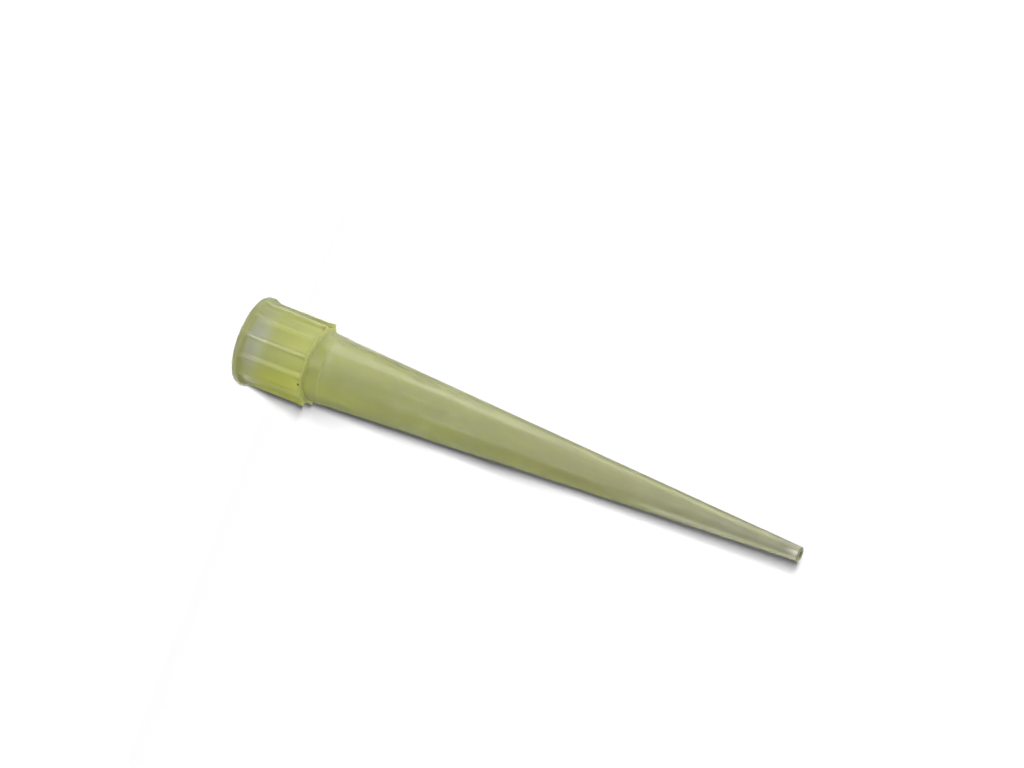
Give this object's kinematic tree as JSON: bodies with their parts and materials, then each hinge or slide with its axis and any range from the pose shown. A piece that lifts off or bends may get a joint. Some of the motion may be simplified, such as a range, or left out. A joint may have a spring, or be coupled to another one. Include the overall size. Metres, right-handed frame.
{
  "type": "pipette tip",
  "caption": "Hollow tapering pipette tip with a finned collar and a plain rim at its mouth, which pushes onto the nozzle of a micropipette and draws up small volumes.",
  "frame": {"origin": "centre of the mouth, in the plane of the mouth rim", "axes": "+Z along the bore from the mouth to the fine end; the tip stands on its mouth rim at Z = 0; one fin of the collar is centred on +X"},
  "size_m": [0.0076, 0.0076, 0.051],
  "materials": {
    "polypropylene": "translucent yellow polypropylene, smooth as moulded, with a soft gloss"
  },
  "bodies": {
    "root": {"pipette_tip": "polypropylene"}
  },
  "joints": []
}
